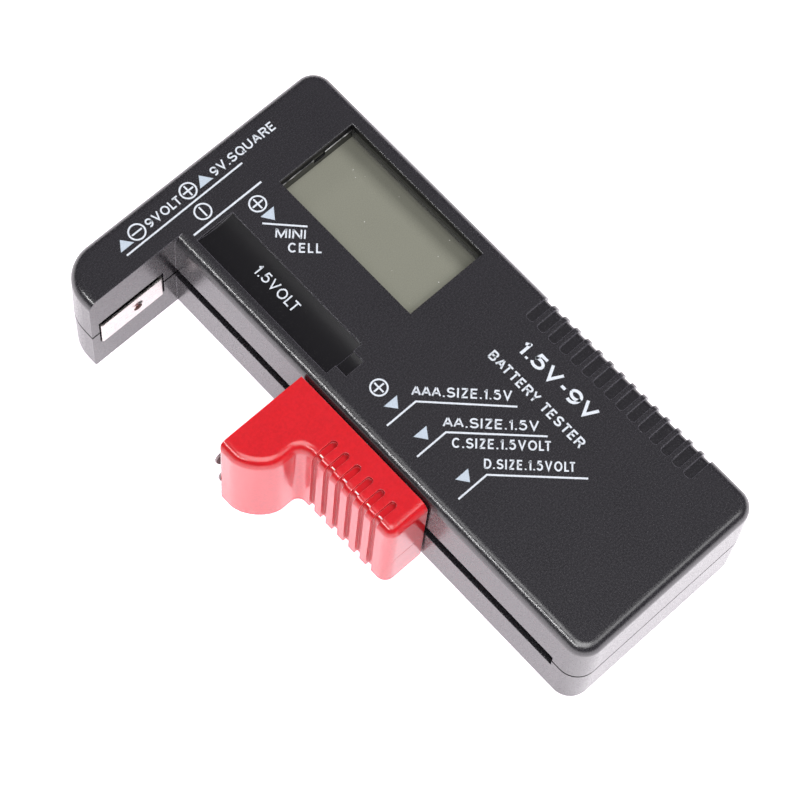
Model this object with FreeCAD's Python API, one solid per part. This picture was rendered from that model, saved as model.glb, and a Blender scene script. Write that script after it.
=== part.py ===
"""Handheld battery tester: L-shaped two-piece case, display, and a slider that closes on the cell.

Millimetres, +Z up. The tester lies on its back: X is the width (the arm reaches to -X), Y is the
length (the arm is at the +Y end) and Z is the thickness. The origin is the middle of the footprint.
"""
import FreeCAD, Part
import math
import os

V = FreeCAD.Vector

# ---- case, overall ----
length = 110.0
thickness = 25.0
body_left = -11.0
body_right = 30.0
arm_left = -30.0
y_low = -54.5             # drawn off the middle; every solid is centred when it is written
y_high = y_low + length
arm_inner = 45.8          # face of the arm that the cell rests against
split_z = 12.0
split_gap = 0.25          # shadow line between the two shells
side_wall = 1.7
front_wall = 1.6
rear_wall = 1.8
corner_radius = 4.0
arm_corner_radius = 7.4
front_inset = 0.15        # draft of the sides, split line to front face
rear_inset = 0.1          # draft of the sides, split line to back
front_fillet = 2.0
rear_fillet = 0.5
tongue_height = 1.0
tongue_thickness = 0.75
fit_gap = 0.1
overlap = 0.25            # how deep an added rib or boss is sunk into its wall

# ---- slider slot in the left side ----
slot_low = -48.6
slot_height = 3.8
slot_bottom = split_z - slot_height / 2
slot_top = split_z + slot_height / 2

# ---- display window and trough in the front face ----
window_x = (9.85, 26.6)
window_y = (9.4, 42.2)
window_edge = 0.25
trough_x = (-8.1, -0.1)
trough_y = (10.7, 43.3)
trough_depth = 0.9
trough_edge = 0.25        # height of the small upright wall around the trough
trough_backing = 1.0      # extra plastic under the trough
button_x = (-6.0, -1.95)  # short step at the plus end, in the shape of a cell's button
button_y = (8.1, 10.8)
button_depth = 0.6

# ---- grip grooves on the right edge ----
groove_count = 15
groove_pitch = 2.707
groove_first = -4.62
groove_width = 1.8
groove_depth = 0.4
groove_start = 24.1
groove_corner = 0.6

# ---- display stack ----
lcd_face_z = 20.8
polarizer = 0.2
glass = 1.1
frame_ledge = 0.25        # the frame shows below the far edge of the window
frame_notch_x = (17.5, 20.1)
frame_notch_depth = 1.3
frame_edge = 0.12         # chamfer on the ledge
frame_corner = 0.6
frame_x = (7.2, 27.7)
frame_y = (6.4, 45.2)
lcd_x = (8.5, 27.0)
lcd_y = (7.7, 43.9)
lcd_gap = 0.1
ledge_x = 11.6            # the rear glass starts here; the strip left of it carries the contacts
frame_floor_x = 26.0      # the frame is open below the display up to here
frame_floor = 1.0         # width of the frame's floor at the short ends of the display
zebra_x = (8.8, 11.2)
zebra_y = (9.4, 42.2)

# ---- circuit board ----
pcb_x = (5.0, 27.4)
pcb_y = (-0.5, 51.5)
pcb_top = 15.8
pcb_thickness = 1.6
pcb_bottom = pcb_top - pcb_thickness
pcb_screw_xy = [(10.5, 2.4), (25.0, 2.4), (10.5, 48.9), (25.0, 48.9)]
pcb_boss_radius = 2.2
board_corner = 1.0
blob_xy = (17.0, 24.0)
blob_radius = 6.2
blob_height = 1.6
chip_half = (1.0, 0.62)
resistor_height = 0.5
resistor_rows = [(10.0, (12.0, 14.6, 17.2, 19.8)), (24.0, (14.0, 17.0))]
capacitor_height = 0.9
capacitor_rows = [(24.6, (25.0, 28.0, 31.0))]
inductor_xy = (18.0, 38.0)
inductor_flange = (3.0, 1.0)     # radius and height
inductor_winding = (2.6, 2.2)

# ---- screws: shank and head sizes ----
case_screw_xy = [(0.5, -49.5), (24.5, -49.5), (1.5, 43.6), (-25.0, 50.4)]
case_boss_radius = 3.2
case_post_radius = 2.5
case_shank = 1.2
case_head = 2.1
case_head_height = 1.5
case_seat_z = 4.5
case_well_radius = 2.35
case_tip_z = 20.5
pcb_shank = 0.9
pcb_head = 1.75
pcb_head_height = 1.2
pcb_tip_z = 20.8
screw_hole_room = 0.15    # clearance around a shank
screw_end_room = 0.4      # hole beyond the tip

# ---- arm plate and 9 volt pads, all bent from strip ----
strip = 0.4
plate_x = (-28.05, -14.2)
plate_z = (8.3, 14.7)
plate_proud = 0.3
plate_leg = 2.2
plate_window_z = (8.2, 15.8)
plate_window_x = (-28.35, -13.75)
pip_xz = (-20.1, 11.8)
pip_radius = 1.3
pip_height = 0.45
plate_tab_z = (9.6, 12.0) # solder tab behind the plate
plate_tab = 1.4
bent_edge = 0.35          # outer radius of a bend in the strip
rib_width = 1.0           # ribs that clamp the legs
rib_room = 0.4            # how far the ribs reach past the legs
snap_pitch = 12.7
snap_centre = -8.9
pad_width = 8.4
pad_z = (8.6, 15.4)
pad_proud = 0.0
pad_leg = 3.2
pad_clear = 0.3

# ---- slider ----
grip_right = -11.3
grip_low = -17.85
grip_high = 13.3
grip_side = -19.7
nose_left = -29.8
nose_low = 4.05
nose_start = 10.8
nose_x = -23.3
nose_roundness = 0.45
grip_bottom = 0.4
grip_top = 24.2
grip_fillet = 2.0
grip_lower_fillet = 0.25
grip_tip_radius = 0.8
grip_overrun = 3.0        # the block is drawn longer and trimmed, so its upper end stays sharp
grip_neck_radius = 1.7
grip_end_radius = 2.0
rib_count = 6
rib_pitch = 2.88
rib_first = -13.65
rib_slot = 1.35
rib_depth = 0.8
rib_end = -14.8
grip_wall = 2.0
nose_wall = 3.2           # wall around the hollow in the nose
nose_room_corner = 0.8
web_z = (10.0, 14.0)
seam_z = 10.2
seam_size = 0.15
stem_y = (-16.2, 11.8)
stem_thickness = 3.0
stem_end = -8.7

# ---- inside half of the slider ----
carriage_x = (-8.7, -5.0)
carriage_z = (7.4, 16.6)
carriage_y = (-16.4, 12.2)
slider_screw_y = (-11.0, 7.0)
slider_shank = 1.0
slider_head = 1.8
slider_head_height = 1.1
slider_tip_x = -16.0
contact_z = (9.5, 15.5)
contact_bow = 1.7
contact_tip_x = -29.2
contact_bend_x = -21.0
backing_z = (5.8, 12.0)   # flat finger behind the leaf
backing_tip_x = -29.95
recess_room = 0.15
tail_width = 2.6
tail_low = 4.4
wiper = 0.3
wiper_width = 3.6
wiper_crest_x = -3.0
wiper_crest_y = (-3.4, -0.6)
wiper_foot = 2.3          # flat part on each side of a screw

# ---- contact rail behind the slot ----
rail_x = -2.6
rail_y = (-38.5, 32.5)
rail_z = (8.8, 15.0)
rail_flange = 2.2
rail_post_y = (-36.6, -3.0, 30.6)
rail_post_width = 2.9
rail_post_depth = 1.6
rail_shelf = 0.8          # step of a post under the rail
stop_y = 43.5
stop_thickness = 1.2

# ---- wires ----
wire_radius = 0.5
wire_bend = 1.6
solder_x = 7.0            # the wires reach the board along this line
arm_wire_z = (10.8, 6.0)
arm_wire_step = 3.0
pad_wire_z = (12.0, 8.0)
neg_wire_step = 1.7
neg_wire_y = 49.7
pos_wire_xy = (3.75, 46.2)
rail_wire_x = 1.6
rail_wire_y = 20.0
rail_wire_z = (12.0, 8.8)
wire_seat = 0.7           # from the end of a leg to the middle of its wire


# ---- general shapes ----
def box(x, y, z):
    """Box between two limits on each axis."""
    return Part.makeBox(x[1] - x[0], y[1] - y[0], z[1] - z[0], V(x[0], y[0], z[0]))


def post(xy, z, radius):
    """Upright cylinder between two heights."""
    return Part.makeCylinder(radius, z[1] - z[0], V(xy[0], xy[1], z[0]))


def only_solid(shape):
    """The single solid inside a result."""
    if len(shape.Solids) != 1:
        raise ValueError("expected one solid, got %d" % len(shape.Solids))
    return shape.Solids[0]


def shape_sum(shapes):
    """One solid from overlapping solids."""
    first = shapes[0]
    return only_solid(first.fuse(shapes[1:]).removeSplitter())


def rounded_wire(corners):
    """Closed or open run of straight lines with a tangent arc at every corner that has a radius.

    Each corner is (point, radius). The run is closed when the last corner repeats the first.
    """
    closed = corners[0][0].distanceToPoint(corners[-1][0]) < 1e-6
    points = [c[0] for c in corners]
    radii = [c[1] for c in corners]
    if closed:
        points = points[:-1]
        radii = radii[:-1]
    count = len(points)
    entries = []
    for i in range(count):
        here = points[i]
        if radii[i] <= 0 or (not closed and i in (0, count - 1)):
            entries.append((here, None, here))
            continue
        back = (points[i - 1] - here).normalize()
        ahead = (points[(i + 1) % count] - here).normalize()
        half = back.getAngle(ahead) / 2
        reach = radii[i] / math.tan(half)
        middle = (back + ahead).normalize()
        centre = here + middle * (radii[i] / math.sin(half))
        entries.append((here + back * reach, centre - middle * radii[i], here + ahead * reach))
    edges = []
    for i in range(count):
        start, mid, end = entries[i]
        if mid is not None:
            edges.append(Part.Arc(start, mid, end).toShape())
        if i == count - 1 and not closed:
            continue
        target = entries[(i + 1) % count][0]
        if end.distanceToPoint(target) > 1e-6:
            edges.append(Part.LineSegment(end, target).toShape())
    return Part.Wire(edges)


def flat_outline(corners, z):
    """Closed rounded wire in a level plane from (x, y, radius) corners."""
    run = [(V(x, y, z), r) for x, y, r in corners]
    return rounded_wire(run + run[:1])


def slab(corners, z):
    """Upright prism on a rounded outline."""
    face = Part.Face(flat_outline(corners, z[0]))
    return face.extrude(V(0, 0, z[1] - z[0]))


def rounded_box(x, y, z, radius):
    """Upright box with rounded vertical edges."""
    corners = [(x[0], y[0], radius), (x[1], y[0], radius), (x[1], y[1], radius), (x[0], y[1], radius)]
    return slab(corners, z)


def strip_along_y(points, half, z):
    """Bent flat strip: a line of (x, y) points given a thickness of 2 * half, extruded over z."""
    left = []
    right = []
    for i, (x, y) in enumerate(points):
        ahead = points[min(i + 1, len(points) - 1)]
        behind = points[max(i - 1, 0)]
        first = V(x - behind[0], y - behind[1], 0)
        second = V(ahead[0] - x, ahead[1] - y, 0)
        if first.Length < 1e-9:
            first = second
        if second.Length < 1e-9:
            second = first
        first.normalize()
        second.normalize()
        normal_a = V(-first.y, first.x, 0)
        normal_b = V(-second.y, second.x, 0)
        miter = (normal_a + normal_b).normalize()
        reach = half / miter.dot(normal_a)
        left.append(V(x, y, z[0]) + miter * reach)
        right.append(V(x, y, z[0]) - miter * reach)
    loop = left + right[::-1]
    face = Part.Face(Part.makePolygon(loop + loop[:1]))
    return face.extrude(V(0, 0, z[1] - z[0]))


def screw(tip, head_face, shank, head, head_height):
    """Pan-head screw from its tip to the seat of its head; the head lies beyond the seat."""
    axis = (head_face - tip).normalize()
    body = Part.makeCylinder(shank, tip.distanceToPoint(head_face), tip, axis)
    cap = Part.makeCylinder(head, head_height, head_face, axis)
    rim = [e for e in cap.Edges if e.Curve.TypeId == "Part::GeomCircle"]
    far = max(rim, key=lambda e: e.CenterOfMass.dot(axis))
    cap = cap.makeFillet(head_height * 0.4, [far])
    top = head_face + axis * head_height
    side = V(0, 0, 1) if abs(axis.z) < 0.5 else V(1, 0, 0)
    other = axis.cross(side)
    slot_depth = head_height / 2
    slot_length = head * 1.2
    slot_width = head * 0.22
    for along in (side, other):
        across = axis.cross(along)
        low = top - along * (slot_length / 2) - across * (slot_width / 2) - axis * slot_depth
        bar = Part.Face(Part.makePolygon([
            low,
            low + along * slot_length,
            low + along * slot_length + across * slot_width,
            low + across * slot_width,
            low,
        ])).extrude(axis * (slot_depth + 1.0))
        cap = cap.cut(bar)
    return body.fuse(cap)


def hookup_wire(points):
    """Round wire along straight runs joined by tangent arcs."""
    path = rounded_wire([(V(*p), wire_bend) for p in points])
    start = V(*points[0])
    heading = (V(*points[1]) - start).normalize()
    ring = Part.Wire(Part.Circle(start, heading, wire_radius).toShape())
    return path.makePipeShell([ring], True, False)


# ---- case ----
def case_outline(inset, z):
    """L-shaped outline of the case, moved inwards by an inset."""
    outer = max(corner_radius - inset, 0.5)
    arm_room = y_high - arm_inner - 2 * inset - 0.05
    arm = min(arm_corner_radius - inset, arm_room)
    return flat_outline([
        (body_left + inset, y_low + inset, outer),
        (body_right - inset, y_low + inset, outer),
        (body_right - inset, y_high - inset, outer),
        (arm_left + inset, y_high - inset, arm),
        (arm_left + inset, arm_inner + inset, 0),
        (body_left + inset, arm_inner + inset, 0),
    ], z)


def case_block(inset_a, z_a, inset_b, z_b):
    """Drafted block between two case outlines."""
    return Part.makeLoft([case_outline(inset_a, z_a), case_outline(inset_b, z_b)], True, True)


def outer_rim(block, z):
    """Edges of the face at height z, without the edge along the inner face of the arm."""
    edges = []
    for edge in block.Edges:
        limits = edge.BoundBox
        level = abs(limits.ZMin - z) < 1e-6 and abs(limits.ZMax - z) < 1e-6
        on_arm_face = limits.YLength < 1e-6 and abs(limits.YMin - arm_inner) < 1.0
        if level and not on_arm_face:
            edges.append(edge)
    return edges


def grip_grooves():
    """Cutters for the U-ended grooves that run over the right edge of the case."""
    right_top = body_right - front_inset
    floor_z = thickness - groove_depth
    inner_radius = front_fillet - groove_depth
    bend_x = right_top - groove_depth - inner_radius
    bend_z = floor_z - inner_radius
    diagonal = inner_radius * math.sqrt(0.5)
    outside = body_right + 1.0
    above = thickness + 1.0
    edges = [
        Part.LineSegment(V(groove_start, 0, floor_z), V(bend_x, 0, floor_z)).toShape(),
        Part.Arc(
            V(bend_x, 0, floor_z),
            V(bend_x + diagonal, 0, bend_z + diagonal),
            V(bend_x + inner_radius, 0, bend_z),
        ).toShape(),
    ]
    corners = [
        V(bend_x + inner_radius, 0, bend_z),
        V(body_right - groove_depth, 0, split_z),
        V(body_right - rear_inset - groove_depth, 0, -1.0),
        V(outside, 0, -1.0),
        V(outside, 0, above),
        V(groove_start, 0, above),
        V(groove_start, 0, floor_z),
    ]
    for a, b in zip(corners, corners[1:]):
        edges.append(Part.LineSegment(a, b).toShape())
    profile = Part.Face(Part.Wire(edges))
    cutters = []
    for i in range(groove_count):
        centre = groove_first - i * groove_pitch
        low = centre - groove_width / 2
        high = centre + groove_width / 2
        band = profile.extrude(V(0, groove_width, 0))
        band.translate(V(0, low, 0))
        plan = slab([
            (groove_start, low, groove_corner),
            (outside, low, 0),
            (outside, high, 0),
            (groove_start, high, groove_corner),
        ], (-1.0, above))
        cutters.append(band.common(plan))
    return cutters


def plate_openings():
    """Openings in the walls for the arm plate and for the two 9 volt pads."""
    cutters = [box(plate_window_x, (arm_inner - 1, arm_inner + side_wall + 0.6), plate_window_z)]
    for centre in pad_centres():
        x = (centre - pad_width / 2 - pad_clear, centre + pad_width / 2 + pad_clear)
        z = (pad_z[0] - pad_clear, pad_z[1] + pad_clear)
        cutters.append(box(x, (y_high - side_wall - 0.6, y_high + 1), z))
    return cutters


def pad_centres():
    """X of the minus pad and of the plus pad."""
    return (snap_centre - snap_pitch / 2, snap_centre + snap_pitch / 2)


def slot_cutter():
    """Slot in the left side that the slider's stem runs in."""
    x = (body_left - 1.0, body_left + side_wall + 1.0)
    return box(x, (slot_low, arm_inner), (slot_bottom, slot_top))


def clamp_ribs(z):
    """Ribs that trap the legs of the arm plate and of the 9 volt pads from above or from below."""
    ribs = []
    leg_y = (arm_inner + side_wall - overlap, arm_inner - plate_proud + plate_leg + rib_room)
    ribs.append(box((arm_left, plate_x[0] + rib_width), leg_y, z))
    ribs.append(box((plate_x[1] - rib_width, plate_x[1]), leg_y, z))
    tail_y = (y_high + pad_proud - pad_leg - rib_room, y_high - side_wall + overlap)
    for centre in pad_centres():
        for x in (centre - pad_width / 2, centre + pad_width / 2 - rib_width):
            ribs.append(box((x, x + rib_width), tail_y, z))
    return ribs


def trough_cutter(x, y, depth):
    """Cutter with low upright sides and a floor that is an arc across X."""
    above = thickness + 1.0
    left = V(x[0], y[0], thickness - trough_edge)
    right = V(x[1], y[0], thickness - trough_edge)
    middle = V((x[0] + x[1]) / 2, y[0], thickness - depth)
    top_left = V(x[0], y[0], above)
    top_right = V(x[1], y[0], above)
    edges = [Part.Arc(left, middle, right).toShape()]
    for a, b in ((right, top_right), (top_right, top_left), (top_left, left)):
        edges.append(Part.LineSegment(a, b).toShape())
    return Part.Face(Part.Wire(edges)).extrude(V(0, y[1] - y[0], 0))


def front_shell():
    """Front half of the case, with the window, the trough, the bosses and the groove for the tongue."""
    low = split_z + split_gap
    block = case_block(0, low, front_inset, thickness)
    block = only_solid(block.makeFillet(front_fillet, outer_rim(block, thickness)))
    inner = thickness - front_wall
    inside = case_block(side_wall, low, side_wall + front_inset, inner)
    shell = block.cut(inside)
    backing = box(
        (trough_x[0] - trough_backing, trough_x[1] + trough_backing),
        (trough_y[0] - trough_backing, trough_y[1] + trough_backing),
        (inner - trough_backing, inner + overlap),
    )
    adds = [backing]
    for xy in pcb_screw_xy:
        adds.append(post(xy, (pcb_top, inner + overlap), pcb_boss_radius))
    for xy in case_screw_xy:
        adds.append(post(xy, (low, inner + overlap), case_post_radius))
    adds += clamp_ribs((pad_z[1], inner + overlap))
    adds = [a.common(block) for a in adds]
    shell = shape_sum([shell] + adds)
    cuts = [
        trough_cutter(trough_x, trough_y, trough_depth),
        trough_cutter(button_x, button_y, button_depth),
        slot_cutter(),
    ]
    cuts.append(box(window_x, window_y, (inner - 1, thickness + 1)))
    for xy in pcb_screw_xy:
        cuts.append(post(xy, (pcb_top - 1, pcb_tip_z + screw_end_room), pcb_shank))
    for xy in case_screw_xy:
        cuts.append(post(xy, (low - 1, case_tip_z + screw_end_room), case_shank))
    cuts += plate_openings()
    tongue_outer = side_wall - tongue_thickness - fit_gap
    room = case_block(tongue_outer, split_z - 1, tongue_outer, split_z + tongue_height + fit_gap)
    core = case_block(side_wall + 1.0, split_z - 2, side_wall + 1.0, split_z + tongue_height + 2)
    cuts.append(room.cut(core))
    cuts += grip_grooves()
    shell = only_solid(shell.cut(cuts))
    rim = []
    for edge in shell.Edges:
        limits = edge.BoundBox
        level = abs(limits.ZMin - thickness) < 1e-6 and abs(limits.ZMax - thickness) < 1e-6
        in_x = limits.XMin > window_x[0] - 0.01 and limits.XMax < window_x[1] + 0.01
        in_y = limits.YMin > window_y[0] - 0.01 and limits.YMax < window_y[1] + 0.01
        if level and in_x and in_y:
            rim.append(edge)
    return only_solid(shell.makeFillet(window_edge, rim))


def rear_shell():
    """Rear half of the case, with the tongue, screw wells, rail posts and the slider's end stop."""
    block = case_block(0, split_z, rear_inset, 0)
    block = only_solid(block.makeFillet(rear_fillet, outer_rim(block, 0)))
    inside = case_block(side_wall, split_z, side_wall + rear_inset, rear_wall)
    shell = block.cut(inside)
    tongue_a = side_wall - tongue_thickness
    tongue = case_block(tongue_a, split_z - 0.5, tongue_a, split_z + tongue_height)
    tongue = tongue.cut(case_block(side_wall, split_z - 1, side_wall, split_z + tongue_height + 1))
    floor = rear_wall - overlap
    adds = [tongue]
    for xy in case_screw_xy:
        well = post(xy, (floor, split_z), case_boss_radius)
        adds.append(well.common(block))
    back_x = (rail_x + strip, rail_x + strip + rail_post_depth)
    for centre in rail_post_y:
        y = (centre - rail_post_width / 2, centre + rail_post_width / 2)
        adds.append(box(back_x, y, (floor, rail_z[1])))
        adds.append(box((rail_x - rail_shelf, back_x[1]), y, (floor, rail_z[0])))
    stop_x = (body_left + side_wall - overlap, carriage_x[1] + rail_shelf / 2)
    adds.append(box(stop_x, (stop_y, stop_y + stop_thickness), (floor, slot_bottom)))
    adds += [rib.common(block) for rib in clamp_ribs((floor, plate_z[0]))]
    shell = shape_sum([shell] + adds)
    cuts = [slot_cutter()]
    for xy in case_screw_xy:
        cuts.append(post(xy, (-1, case_seat_z), case_well_radius))
        cuts.append(post(xy, (0, split_z + 2), case_shank + screw_hole_room))
    cuts += plate_openings()
    cuts += grip_grooves()
    return only_solid(shell.cut(cuts))


# ---- display and electronics ----
def lcd_frame():
    """Black frame between the front shell and the board; lower part of the window well."""
    top = thickness - front_wall
    frame = rounded_box(frame_x, frame_y, (pcb_top, top), frame_corner)
    rear_bottom = lcd_face_z - polarizer - 2 * glass
    pocket_x = (lcd_x[0] - lcd_gap, lcd_x[1] + lcd_gap)
    pocket_y = (lcd_y[0] - lcd_gap, lcd_y[1] + lcd_gap)
    ledge_y = window_y[1] - frame_ledge
    floor_y = (lcd_y[0] + frame_floor, lcd_y[1] - frame_floor)
    frame = only_solid(frame.cut([
        box(window_x, (window_y[0], ledge_y), (pcb_top - 1, top + 1)),
        box(frame_notch_x, (window_y[1] - 1, window_y[1]), (top - frame_notch_depth, top + 1)),
        box(pocket_x, pocket_y, (rear_bottom, lcd_face_z)),
        box((pocket_x[0], frame_floor_x), floor_y, (pcb_top - 1, rear_bottom + 0.1)),
    ]))
    edges = []
    for edge in frame.Edges:
        limits = edge.BoundBox
        level = abs(limits.ZMin - top) < 1e-6 and abs(limits.ZMax - top) < 1e-6
        if level and abs(limits.YMin - ledge_y) < 1e-6 and abs(limits.YMax - ledge_y) < 1e-6:
            edges.append(edge)
    return only_solid(frame.makeChamfer(frame_edge, edges))


def lcd_front_polarizer():
    """Grey film on the face of the display."""
    z = (lcd_face_z - polarizer, lcd_face_z)
    return box((lcd_x[0] + 0.4, lcd_x[1] - 0.2), (lcd_y[0] + 0.3, lcd_y[1] - 0.3), z)


def lcd_front_glass():
    """Front sheet of the display; its left strip carries the contacts."""
    top = lcd_face_z - polarizer
    return box(lcd_x, lcd_y, (top - glass, top))


def lcd_rear_glass():
    """Rear sheet of the display, narrower than the front sheet."""
    top = lcd_face_z - polarizer - glass
    return box((ledge_x, lcd_x[1]), lcd_y, (top - glass, top))


def lcd_reflector():
    """Silvered film under the display."""
    top = lcd_face_z - polarizer - 2 * glass
    return box((ledge_x + 0.2, 25.8), (lcd_y[0] + 1.2, lcd_y[1] - 1.2), (top - polarizer, top))


def zebra_strip():
    """Layered rubber connector between the board and the front glass."""
    return box(zebra_x, zebra_y, (pcb_top, lcd_face_z - polarizer - glass))


def main_pcb():
    """Circuit board with its four screw holes and the solder holes of the wires."""
    board = rounded_box(pcb_x, pcb_y, (pcb_bottom, pcb_top), board_corner)
    hole = pcb_shank + screw_hole_room
    holes = [post(xy, (pcb_bottom - 1, pcb_top + 1), hole) for xy in pcb_screw_xy]
    return board.cut(holes)


def pcb_screws():
    """Four screws from below that hold the board to the front shell."""
    screws = []
    for x, y in pcb_screw_xy:
        tip = V(x, y, pcb_tip_z)
        screws.append(screw(tip, V(x, y, pcb_bottom), pcb_shank, pcb_head, pcb_head_height))
    return Part.makeCompound(screws)


def case_screws():
    """Four screws from the back that hold the shells together."""
    screws = []
    for x, y in case_screw_xy:
        tip = V(x, y, case_tip_z)
        screws.append(screw(tip, V(x, y, case_seat_z), case_shank, case_head, case_head_height))
    return Part.makeCompound(screws)


def ic_blob():
    """Black resin drop over the bare chip, on the underside of the board."""
    ball_radius = (blob_radius ** 2 + blob_height ** 2) / (2 * blob_height)
    ball = Part.makeSphere(ball_radius, V(*blob_xy, pcb_bottom + ball_radius - blob_height))
    below = post(blob_xy, (pcb_bottom - 2 * blob_height, pcb_bottom), blob_radius + 1)
    return ball.common(below)


def chips(rows, height):
    """Chip components under the board, in rows of (x, y values), each with its length along X."""
    half_x, half_y = chip_half
    z = (pcb_bottom - height, pcb_bottom)
    solids = []
    for x, y_values in rows:
        for y in y_values:
            solids.append(rounded_box((x - half_x, x + half_x), (y - half_y, y + half_y), z, 0.12))
    return Part.makeCompound(solids)


def smd_resistors():
    """Chip resistors of the measuring divider."""
    return chips(resistor_rows, resistor_height)


def smd_capacitors():
    """Chip capacitors of the supply."""
    return chips(capacitor_rows, capacitor_height)


def boost_inductor():
    """Drum inductor of the step-up converter: two flanges and a winding."""
    solids = []
    top = pcb_bottom
    for radius, height in (inductor_flange, inductor_winding, inductor_flange):
        solids.append(post(inductor_xy, (top - height, top), radius))
        top -= height
    return shape_sum(solids)


def bent_plate(x, z, face_y, leg, inward):
    """Plate with a leg bent back at each end; inward is +1 when the legs point to +Y."""
    half = strip / 2
    y_mid = face_y + inward * half
    y_end = face_y + inward * leg
    points = [(x[0] + half, y_end), (x[0] + half, y_mid), (x[1] - half, y_mid), (x[1] - half, y_end)]
    return strip_along_y(points, half, z)


def round_upright(solid, edges_at, radius):
    """Round the upright edges nearest to the given (x, y) places."""
    chosen = []
    for x, y in edges_at:
        uprights = [e for e in solid.Edges if e.BoundBox.XLength + e.BoundBox.YLength < 1e-6]
        near = min(uprights, key=lambda e: math.hypot(e.CenterOfMass.x - x, e.CenterOfMass.y - y))
        chosen.append(near)
    return solid.makeFillet(radius, chosen)


def arm_contact_plate():
    """Bright plate in the arm that the minus end of a cell rests on, with a pressed pip."""
    face = arm_inner - plate_proud
    plate = bent_plate(plate_x, plate_z, face, plate_leg, 1)
    plate = round_upright(plate, [(plate_x[0], face), (plate_x[1], face)], bent_edge)
    radius = (pip_radius ** 2 + pip_height ** 2) / (2 * pip_height)
    ball = Part.makeSphere(radius, V(pip_xz[0], face + radius - pip_height, pip_xz[1]))
    front = box(plate_x, (face - 1, face + strip / 2), plate_z)
    leg_end = face + plate_leg
    tab = box((plate_x[1] - strip, plate_x[1]), (leg_end - overlap, leg_end + plate_tab), plate_tab_z)
    return shape_sum([plate, ball.common(front), tab])


def nine_volt_pad(centre):
    """Plate with two legs in the top end face for one snap of a 9 volt battery."""
    x = (centre - pad_width / 2, centre + pad_width / 2)
    face = y_high + pad_proud
    plate = bent_plate(x, pad_z, face, pad_leg, -1)
    return round_upright(plate, [(x[0], face), (x[1], face)], bent_edge)


def nine_volt_contact_neg():
    """Pad for the minus snap."""
    return nine_volt_pad(pad_centres()[0])


def nine_volt_contact_pos():
    """Pad for the plus snap."""
    return nine_volt_pad(pad_centres()[1])


def contact_rail():
    """Strip behind the slot that the wiper runs on, hooked over its end posts."""
    half = strip / 2
    y0 = rail_post_y[0] - rail_post_width / 2 - half
    y1 = rail_post_y[-1] + rail_post_width / 2 + half
    x = rail_x + half
    points = [(x + rail_flange, y0), (x, y0), (x, y1), (x + rail_flange, y1)]
    return strip_along_y(points, half, rail_z)


# ---- slider ----
def grip_outline():
    """Closed plan outline of the red slider, drawn on past its upper end."""
    z = grip_bottom
    past = grip_high + grip_overrun
    half_end = grip_end_radius * (1 - math.sqrt(0.5))
    half_neck = grip_neck_radius * (1 - math.sqrt(0.5))
    start = V(nose_left, nose_start, z)
    finish = V(nose_x, nose_low, z)
    reach_y = (nose_start - nose_low) * nose_roundness
    reach_x = (nose_x - nose_left) * nose_roundness
    nose = Part.BezierCurve()
    nose.setPoles([start, start - V(0, reach_y, 0), finish - V(reach_x, 0, 0), finish])
    neck_start = V(grip_side - grip_neck_radius, nose_low, z)
    neck_middle = V(grip_side - half_neck, nose_low - half_neck, z)
    neck_end = V(grip_side, nose_low - grip_neck_radius, z)
    end_start = V(grip_side, grip_low + grip_end_radius, z)
    end_middle = V(grip_side + half_end, grip_low + half_end, z)
    end_end = V(grip_side + grip_end_radius, grip_low, z)
    return Part.Wire([
        Part.LineSegment(V(grip_right, past, z), V(nose_left, past, z)).toShape(),
        Part.LineSegment(V(nose_left, past, z), start).toShape(),
        nose.toShape(),
        Part.LineSegment(finish, neck_start).toShape(),
        Part.Arc(neck_start, neck_middle, neck_end).toShape(),
        Part.LineSegment(neck_end, end_start).toShape(),
        Part.Arc(end_start, end_middle, end_end).toShape(),
        Part.LineSegment(end_end, V(grip_right, grip_low, z)).toShape(),
        Part.LineSegment(V(grip_right, grip_low, z), V(grip_right, past, z)).toShape(),
    ])


def grip_rim(solid, z):
    """Edges of the slider at height z, without the edges at its upper end and next to the case."""
    edges = []
    for edge in solid.Edges:
        limits = edge.BoundBox
        level = abs(limits.ZMin - z) < 1e-6 and abs(limits.ZMax - z) < 1e-6
        at_upper_end = limits.YMin > grip_high + 1e-3
        next_to_case = limits.XMin > grip_right - 1e-3
        if level and not at_upper_end and not next_to_case:
            edges.append(edge)
    return edges


def grip_block():
    """Outer form of the slider: rounded rims above and below, and a sharp flat upper end."""
    block = Part.Face(grip_outline()).extrude(V(0, 0, grip_top - grip_bottom))
    block = only_solid(block.makeFillet(grip_fillet, grip_rim(block, grip_top)))
    block = only_solid(block.makeFillet(grip_lower_fillet, grip_rim(block, grip_bottom)))
    trim = slab([
        (nose_left, grip_low - 1, 0),
        (grip_right + 1, grip_low - 1, 0),
        (grip_right + 1, grip_high, 0),
        (nose_left, grip_high, grip_tip_radius),
    ], (grip_bottom - 1, grip_top + 1))
    return only_solid(block.common(trim))


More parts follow.
